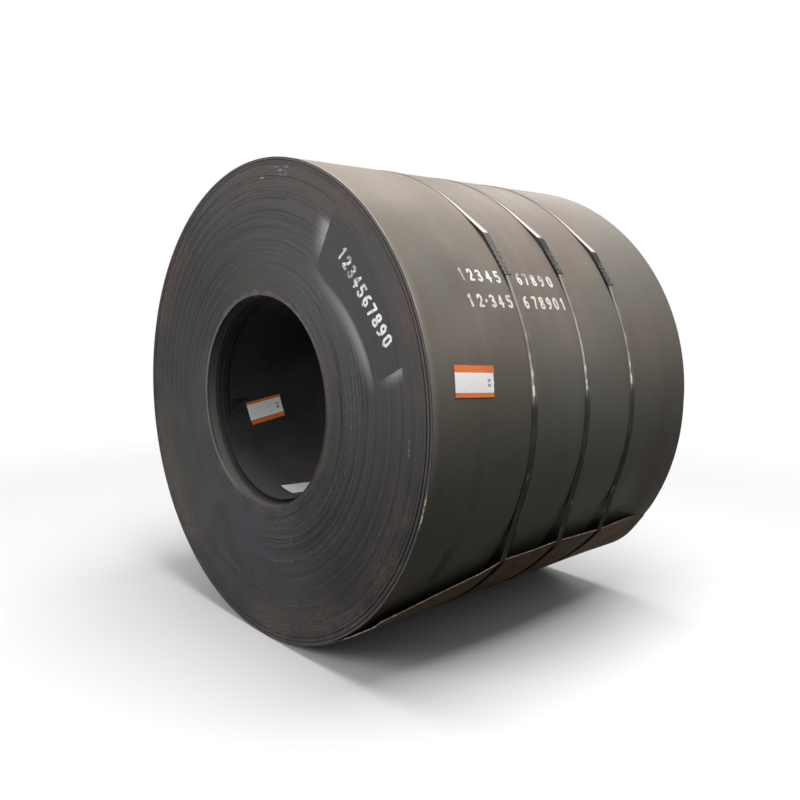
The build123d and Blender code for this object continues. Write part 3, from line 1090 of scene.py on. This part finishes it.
def strap_material():
    """Strapping: a bright band that narrows above the bend, painted as a reflection, dark on the leg as
    painted shade, pale streaks below the seal with two white glints as painted highlights, and as
    dark as the skin underneath."""
    s = Shade("strapping")
    _, turn, y = s.polar()
    degrees_round = s.times(turn, 360.0)
    split = s.node("ShaderNodeSeparateXYZ")
    s.put(s.node("ShaderNodeTexCoord").outputs["UV"], split.inputs[0])
    across = split.outputs[1]
    scratch = s.noise(s.vector(s.times(turn, 30.0), s.times(y, 900.0), 0.0), 1.0, 3.0)
    blotch = s.noise(s.vector(s.times(turn, 90.0), s.times(y, 20.0), 1.0), 1.0, 3.0)
    low = s.mix(s.band(blotch, 0.35, 0.7), (0.060, 0.059, 0.048), (0.096, 0.092, 0.076))
    low = s.mix(s.times(s.band(degrees_round, -15.0, -24.0), 0.40), low, (0.120, 0.106, 0.088))
    # Painted shade: the strap's edges are darkened low down.
    sides = s.math("MAXIMUM", s.band(across, 0.12, 0.05), s.band(across, 0.88, 0.95))
    low = s.mix(s.times(sides, 0.55), low, (0.030, 0.030, 0.025))
    lit_edge = s.times(s.within(across, 0.10, 0.26, 0.06), s.band(degrees_round, -12.0, -18.0))
    low = s.mix(s.times(lit_edge, 0.45), low, (0.170, 0.158, 0.130))
    spotted = s.times(s.band(blotch, 0.57, 0.64), s.band(degrees_round, -19.0, -23.0))
    beige = s.times(s.within(degrees_round, -14.0, -12.8, 0.9), s.band(y, -0.20, -0.24))
    beige = s.times(s.times(beige, s.within(across, 0.25, 0.70, 0.15)), s.band(blotch, 0.30, 0.55))
    low = s.mix(s.times(s.math("MAXIMUM", spotted, beige), 0.7), low, (0.250, 0.205, 0.170))
    low = s.mix(s.band(degrees_round, -33.6, -35.6), low, (0.026, 0.019, 0.014))
    pale = s.mix(s.band(blotch, 0.30, 0.65), (0.135, 0.122, 0.104), (0.180, 0.165, 0.142))
    streak = s.within(across, 0.14, 0.50, 0.08)
    brighter = s.plus(0.35, s.times(s.within(degrees_round, 5.0, 19.0, 3.0), s.band(blotch, 0.38, 0.60)))
    pale = s.mix(s.times(streak, brighter), pale, (0.420, 0.395, 0.350))
    pale = s.mix(s.times(s.within(across, 0.56, 0.66, 0.05), 0.6), pale, (0.050, 0.046, 0.040))
    base = s.mix(s.band(degrees_round, 1.4, 4.2), low, pale)
    # Painted highlights: two small white glints on the strap at about 5 and 9 degrees.
    spot = s.math("MAXIMUM", s.within(degrees_round, 4.2, 6.4, 0.5),
                  s.times(s.within(degrees_round, 8.2, 9.6, 0.6), 0.6))
    spot = s.times(s.times(spot, s.within(across, 0.22, 0.56, 0.08)), s.band(blotch, 0.25, 0.40))
    base = s.mix(spot, base, (0.95, 0.94, 0.90))
    far_bend = s.times(s.band(y, 0.12, 0.26), strap_bend_angles[0] - strap_bend_angles[2])
    past_bend = s.math("SUBTRACT", s.plus(degrees_round, far_bend), strap_bend_angles[0])
    first = s.band(y, -0.05, -0.20)
    past_foot = s.plus(s.plus(past_bend, strap_leg_spans[1]), s.times(first, strap_leg_spans[0] - strap_leg_spans[1]))
    leg = s.times(s.band(past_foot, 0.0, 0.5), s.band(past_bend, 0.5, -0.1))
    # Painted shade: the straight leg is darker than the strap round it.
    leg_colour = s.mix(s.band(scratch, 0.40, 0.62), (0.034, 0.032, 0.030), (0.070, 0.067, 0.063))
    leg_colour = s.mix(s.times(first, 0.75), leg_colour, (0.125, 0.116, 0.107))
    base = s.mix(leg, base, leg_colour)
    skin_like = s.mix(s.band(across, 0.16, 0.06), (0.165, 0.147, 0.126), (0.050, 0.044, 0.036))
    # Painted reflection: a bright band above the bend, narrowing as it goes up.
    width = s.math("SUBTRACT", 0.95, s.times(past_bend, 0.034))
    bright = s.times(s.band(s.math("SUBTRACT", across, width), 0.06, -0.06), s.band(across, 0.06, 0.16))
    bright = s.times(bright, s.band(past_bend, 32.0, 20.0))
    shine = s.mix(s.band(past_bend, 4.0, 24.0), (0.42, 0.40, 0.37), (0.26, 0.24, 0.21))
    above = s.mix(bright, skin_like, shine)
    base = s.mix(s.band(past_bend, -0.1, 0.5), base, above)
    s.set(Base_Color=base, Metallic=0.0, Specular_IOR_Level=0.0)
    s.put(s.plus(0.24, s.times(scratch, 0.25)), s.surface.inputs["Roughness"])
    s.bump(scratch, 0.1, 0.0004)
    return s.material


def seal_material():
    """Dark crimped sheet with glints beside its crimps as painted highlights, and painted shade in its notches."""
    s = Shade("seal_sheet")
    x, y, z = s.place()
    point = s.vector(x, y, z)
    split = s.node("ShaderNodeSeparateXYZ")
    s.put(s.node("ShaderNodeTexCoord").outputs["UV"], split.inputs[0])
    u, v = split.outputs[0], split.outputs[1]
    spots = s.noise(point, 90.0, 4.0)
    base = s.mix(s.band(spots, 0.4, 0.7), (0.020, 0.020, 0.019), (0.050, 0.049, 0.045))
    phase = s.math("FRACT", s.plus(s.times(u, 5.0), s.times(v, 0.55)))
    lips = s.math("MAXIMUM", s.within(phase, 0.30, 0.40, 0.05), s.within(phase, 0.86, 0.93, 0.04))
    first = s.band(y, -0.05, -0.20)
    base = s.mix(s.times(first, 0.60), base, (0.120, 0.114, 0.106))
    # Painted shade: dark notches at the crimps.
    notches = s.times(s.within(phase, 0.45, 0.78, 0.06), s.within(v, 0.38, 0.80, 0.10))
    base = s.mix(s.times(notches, 0.9), base, (0.010, 0.010, 0.009))
    # Painted highlights: glints on the crimps' lips.
    glint = s.times(s.times(lips, s.band(v, 0.45, 0.72)), s.band(spots, 0.42, 0.56))
    base = s.mix(s.times(glint, 0.9), base, (0.42, 0.42, 0.40))
    s.set(Base_Color=base, Metallic=0.0, Specular_IOR_Level=0.12)
    s.put(s.plus(0.3, s.times(spots, 0.2)), s.surface.inputs["Roughness"])
    s.bump(s.plus(spots, s.times(lips, 0.8)), 0.3, 0.0010)
    return s.material


def paint_material(name, light, wear_level):
    """White stencil paint, thin and worn in places."""
    s = Shade(name)
    x, y, z = s.place()
    point = s.vector(x, y, z)
    worn = s.noise(point, 55.0, 5.0, 0.65)
    broad = s.noise(point, 9.0, 2.0)
    tops = s.times(s.band(z, 1.368, 1.386), s.band(y, -0.26, -0.22))
    first = s.times(s.band(y, -0.445, -0.470), s.band(z, 1.32, 1.33))
    rubbed = s.math("MAXIMUM", first, tops)
    wear = s.plus(s.plus(s.times(worn, 0.7), s.times(broad, 0.45)), s.times(rubbed, 0.16))
    wear = s.band(wear, wear_level, wear_level + 0.16)
    base = s.mix(s.times(wear, 0.8), light, (0.16, 0.15, 0.145))
    s.set(Base_Color=base, Roughness=0.8)
    s.bump(worn, 0.2, 0.0004)
    return s.material


def label_material(name, top_band, bottom_band, print_strength):
    """Printed paper: an orange band at the top and bottom, faint rows and a small block."""
    s = Shade(name)
    split = s.node("ShaderNodeSeparateXYZ")
    s.put(s.node("ShaderNodeTexCoord").outputs["UV"], split.inputs[0])
    u, v = split.outputs[0], split.outputs[1]
    x, y, z = s.place()
    point = s.vector(x, y, z)
    mottle = s.noise(point, 120.0, 3.0)
    paper = s.mix(mottle, (0.88, 0.87, 0.85), (0.96, 0.95, 0.94))
    rows = s.band(s.math("SINE", s.times(v, 60.0)), 0.35, 0.9)
    dashes = s.band(s.noise(s.vector(s.times(u, 26.0), s.times(v, 9.55), 0.0), 1.0, 2.0), 0.48, 0.6)
    print_area = s.times(s.within(u, 0.06, 0.72, 0.01), s.within(v, 0.22, 0.74, 0.01))
    paper = s.mix(s.times(s.times(rows, dashes), s.times(print_area, print_strength)), paper, (0.22, 0.2, 0.2))
    two_parts = s.math("MAXIMUM", s.within(v, 0.33, 0.43, 0.01), s.within(v, 0.48, 0.58, 0.01))
    block = s.times(s.within(u, 0.83, 0.91, 0.005), two_parts)
    speck = s.band(s.noise(s.vector(s.times(u, 70.0), s.times(v, 40.0), 3.0), 1.0, 0.0), 0.42, 0.5)
    paper = s.mix(s.times(block, s.plus(0.35, s.times(speck, 0.45))), paper, (0.07, 0.06, 0.06))
    orange = s.math(
        "MAXIMUM", s.band(v, 1 - top_band - 0.01, 1 - top_band), s.band(v, bottom_band, bottom_band - 0.01)
    )
    smeared = s.band(s.noise(s.vector(s.times(u, 5.0), s.times(v, 40.0), 2.0), 1.0, 3.0), 0.48, 0.62)
    band_ink = s.mix(s.times(smeared, 0.7), (0.82, 0.20, 0.035), (0.60, 0.10, 0.028))
    base = s.mix(orange, paper, band_ink)
    s.set(Base_Color=base, Roughness=0.45)
    s.bump(mottle, 0.05, 0.0003)
    return s.material


def plain_paper_material():
    """Loose white sheet."""
    s = Shade("white_sheet")
    x, y, z = s.place()
    mottle = s.noise(s.vector(x, y, z), 90.0, 4.0)
    s.set(Base_Color=s.mix(mottle, (0.60, 0.60, 0.62), (0.80, 0.80, 0.82)), Roughness=0.6)
    s.bump(mottle, 0.08, 0.0004)
    return s.material


# ---------------------------------------------------------------- stage
def seen_share(tree):
    """1 for rays that show the background, 0 for rays that only carry light."""
    path = tree.nodes.new("ShaderNodeLightPath")
    first = tree.nodes.new("ShaderNodeMath")
    first.operation = "MAXIMUM"
    tree.links.new(path.outputs["Is Camera Ray"], first.inputs[0])
    tree.links.new(path.outputs["Is Glossy Ray"], first.inputs[1])
    second = tree.nodes.new("ShaderNodeMath")
    second.operation = "MAXIMUM"
    tree.links.new(first.outputs[0], second.inputs[0])
    tree.links.new(path.outputs["Is Transmission Ray"], second.inputs[1])
    return second.outputs[0]


def world():
    """Plain studio surround: white where it is seen, a level fill elsewhere."""
    made = bpy.data.worlds.new("studio")
    bpy.context.scene.world = made
    made.use_nodes = True
    tree = made.node_tree
    back = tree.nodes["Background"]
    back.inputs["Color"].default_value = (1, 1, 1, 1)
    split = tree.nodes.new("ShaderNodeSeparateXYZ")
    tree.links.new(tree.nodes.new("ShaderNodeTexCoord").outputs["Generated"], split.inputs[0])
    sky = tree.nodes.new("ShaderNodeMapRange")
    sky.inputs["From Min"].default_value = 0.0
    sky.inputs["From Max"].default_value = 0.9
    sky.inputs["To Min"].default_value = 0.14
    sky.inputs["To Max"].default_value = 0.60
    tree.links.new(split.outputs[2], sky.inputs["Value"])
    level = tree.nodes.new("ShaderNodeMapRange")
    level.inputs["To Max"].default_value = 1.0
    tree.links.new(sky.outputs["Result"], level.inputs["To Min"])
    tree.links.new(seen_share(tree), level.inputs["Value"])
    tree.links.new(level.outputs["Result"], back.inputs["Strength"])


def floor():
    """Pale floor that runs out to white."""
    size = 14.0
    ring = [(size * cos(a), size * sin(a), 0.0) for a in np.linspace(0, 2 * pi, 97)[:-1]]
    piece = new_mesh("studio_floor", ring, [tuple(range(len(ring)))])
    material = bpy.data.materials.new("pale_floor")
    material.use_nodes = True
    tree = material.node_tree
    surface = tree.nodes["Principled BSDF"]
    shown = tree.nodes.new("ShaderNodeMix")
    shown.data_type = "RGBA"
    shown.inputs[6].default_value = (0.03, 0.03, 0.03, 1)
    shown.inputs[7].default_value = (0.62, 0.62, 0.62, 1)
    tree.links.new(seen_share(tree), shown.inputs[0])
    tree.links.new(shown.outputs[2], surface.inputs["Base Color"])
    surface.inputs["Roughness"].default_value = 0.9
    surface.inputs["Specular IOR Level"].default_value = 0.1
    white = tree.nodes.new("ShaderNodeEmission")
    white.inputs["Strength"].default_value = 1.0
    coordinates = tree.nodes.new("ShaderNodeTexCoord")
    length = tree.nodes.new("ShaderNodeVectorMath")
    length.operation = "LENGTH"
    tree.links.new(coordinates.outputs["Object"], length.inputs[0])
    away = tree.nodes.new("ShaderNodeMapRange")
    away.interpolation_type = "SMOOTHSTEP"
    away.inputs["From Min"].default_value = 1.6
    away.inputs["From Max"].default_value = 4.5
    tree.links.new(length.outputs["Value"], away.inputs["Value"])
    share = tree.nodes.new("ShaderNodeMath")
    share.operation = "MULTIPLY"
    tree.links.new(away.outputs["Result"], share.inputs[0])
    tree.links.new(seen_share(tree), share.inputs[1])
    blend = tree.nodes.new("ShaderNodeMixShader")
    tree.links.new(share.outputs[0], blend.inputs[0])
    tree.links.new(surface.outputs[0], blend.inputs[1])
    tree.links.new(white.outputs[0], blend.inputs[2])
    tree.links.new(blend.outputs[0], tree.nodes["Material Output"].inputs["Surface"])
    piece.data.materials.append(material)


def lamp(name, place, target, size, power, cone=None):
    """Soft square lamp that faces a point, or a soft spot with a cone in degrees."""
    from mathutils import Vector

    if cone is None:
        data = bpy.data.lights.new(name, "AREA")
        data.shape = "SQUARE"
        data.size = size
    else:
        data = bpy.data.lights.new(name, "SPOT")
        data.spot_size = radians(cone)
        data.spot_blend = 1.0
        data.shadow_soft_size = size
    data.energy = power
    made = bpy.data.objects.new(name, data)
    made.location = place
    made.rotation_euler = (Vector(target) - Vector(place)).to_track_quat("-Z", "Y").to_euler()
    bpy.context.scene.collection.objects.link(made)


def lamps():
    """One wide lamp overhead, one behind and a weaker one from the marked end's side."""
    lamp("overhead", (1.2, 0.0, 5.2), (0.1, 0.0, 0.9), 4.0, 420)
    lamp("behind", (-2.6, 9.5, 6.6), (0.0, 0.2, 1.2), 6.0, 300)
    lamp("front_fill", (0.0, -6.0, 3.6), (0.0, -0.2, 0.9), 3.0, 210)
    lamp("bore_light", (2.3, -3.4, 2.2), (-0.37, -0.45, 0.8), 0.4, 260, 9.0)


def camera():
    """Camera at the photograph's angle."""
    data = bpy.data.cameras.new("photo_camera")
    data.sensor_width = 36.0
    data.lens = camera_lens
    data.shift_x, data.shift_y = camera_shift
    made = bpy.data.objects.new("photo_camera", data)
    made.location = camera_place
    made.rotation_euler = (radians(90 - camera_down_degrees), 0, radians(camera_turn_degrees))
    bpy.context.scene.collection.objects.link(made)
    bpy.context.scene.camera = made


def build():
    """Makes every piece, the stage, the lamps and the camera."""
    camera()
    world()
    lamps()
    floor()
    skin = skin_material()
    wall = wall_material_of_bore()
    turns_at_end("turns_marked_end", near_edge, 1, end_material("marked_edges", True), wall)
    turns_at_end("turns_far_end", far_edge, -1, end_material("far_edges", False), wall)
    outer_turn(skin, cut_edge_material(), tail_plate_material())
    strapping = strap_material()
    sealing = seal_material()
    places = zip(strap_from_end, strap_bend_angles, strap_leg_spans)
    for number, (from_end, bend_angle, leg_span) in enumerate(places, start=1):
        strap(number, from_end - half_width, bend_angle, leg_span, strapping)
        seal(number, from_end - half_width, bend_angle, leg_span, sealing)
    belly = coil_radius - 0.75 * turn_pitch + 0.0008
    label("belly_label", 0.195, 8.5, -4.0, belly, 1, "label_outer", label_material("belly_print", 0.225, 0.15, 0.12), 0.003, 0.004)
    bore = bore_radius - 0.0005
    label("bore_label", 0.272, -165.2, -8.5, bore, -1, "label_bore", label_material("bore_print", 0.2, 0.12, 0.40), 0.002)
    label("bore_sheet", 0.242, -94.7, 6.0, bore, -1, "sheet_in_bore", plain_paper_material(), 0.004)
    belly_digits(paint_material("worn_paint", (0.56, 0.54, 0.51), 0.57))
    end_digits(paint_material("stencil_paint", (0.90, 0.90, 0.89), 0.68))
    bpy.context.scene.view_settings.view_transform = "Standard"


build()
